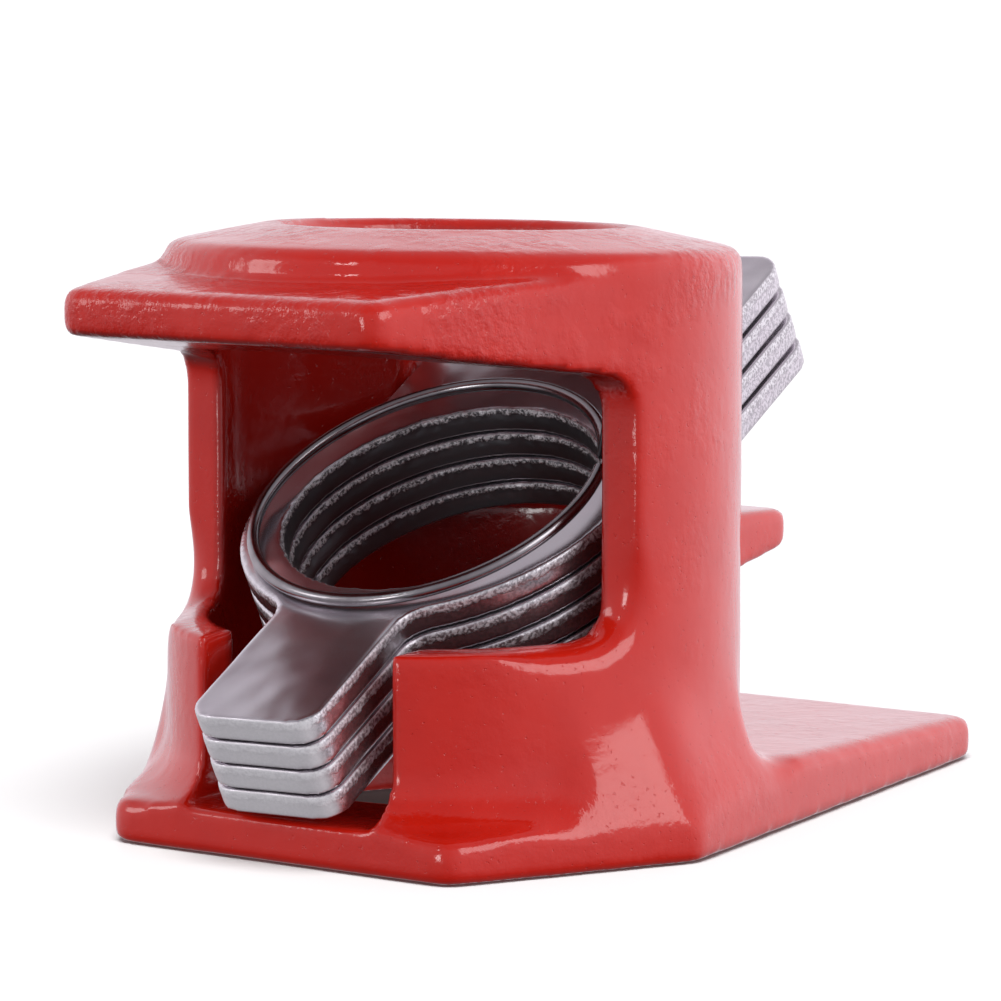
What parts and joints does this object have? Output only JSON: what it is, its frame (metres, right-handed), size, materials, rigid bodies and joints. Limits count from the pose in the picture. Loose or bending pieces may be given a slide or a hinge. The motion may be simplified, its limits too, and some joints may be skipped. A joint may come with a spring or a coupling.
{
  "type": "pipe clamp tail jaw",
  "caption": "Sliding tail jaw for a three-quarter inch pipe clamp: red cast body, tilting friction plates and a return spring.",
  "frame": {"origin": "pipe axis in the plane of the flat jaw face", "axes": "+Z along the pipe, away from the work; +Y towards the long end of the jaw face; -Y towards the release tabs and the thumb ledge"},
  "size_m": [0.0558, 0.0848, 0.0511],
  "materials": {
    "red_enamel": "gloss enamel on cast iron",
    "bright_steel": "bright zinc plated stamping",
    "spring_wire": "drawn spring wire"
  },
  "bodies": {
    "casting": {"jaw_casting": "red_enamel"},
    "plate_1": {"clutch_plate_1": "bright_steel", "clutch_spring": "spring_wire"},
    "plate_2": {"clutch_plate_2": "bright_steel"},
    "plate_3": {"clutch_plate_3": "bright_steel"},
    "plate_4": {"clutch_plate_4": "bright_steel"}
  },
  "joints": [
    {"name": "plate_1_release", "type": "hinge", "parent": "casting", "child": "plate_1", "pos_m": [0, 0.0145, 0.0275], "axis": [-1, 0, 0], "range_deg": [0, 27.3], "stiffness_Nm_per_rad": 0.3, "springref_deg": -28.65, "deforming": ["clutch_spring"]},
    {"name": "plate_2_release", "type": "hinge", "parent": "casting", "child": "plate_2", "pos_m": [0, 0.0145, 0.0275], "axis": [-1, 0, 0], "range_deg": [0, 27.3]},
    {"name": "plate_3_release", "type": "hinge", "parent": "casting", "child": "plate_3", "pos_m": [0, 0.0145, 0.0275], "axis": [-1, 0, 0], "range_deg": [0, 27.3]},
    {"name": "plate_4_release", "type": "hinge", "parent": "casting", "child": "plate_4", "pos_m": [0, 0.0145, 0.0275], "axis": [-1, 0, 0], "range_deg": [0, 27.3]}
  ],
  "couplings": [
    {"joint": "plate_2_release", "follows": "plate_1_release", "ratio": 1},
    {"joint": "plate_3_release", "follows": "plate_1_release", "ratio": 1},
    {"joint": "plate_4_release", "follows": "plate_1_release", "ratio": 1}
  ]
}
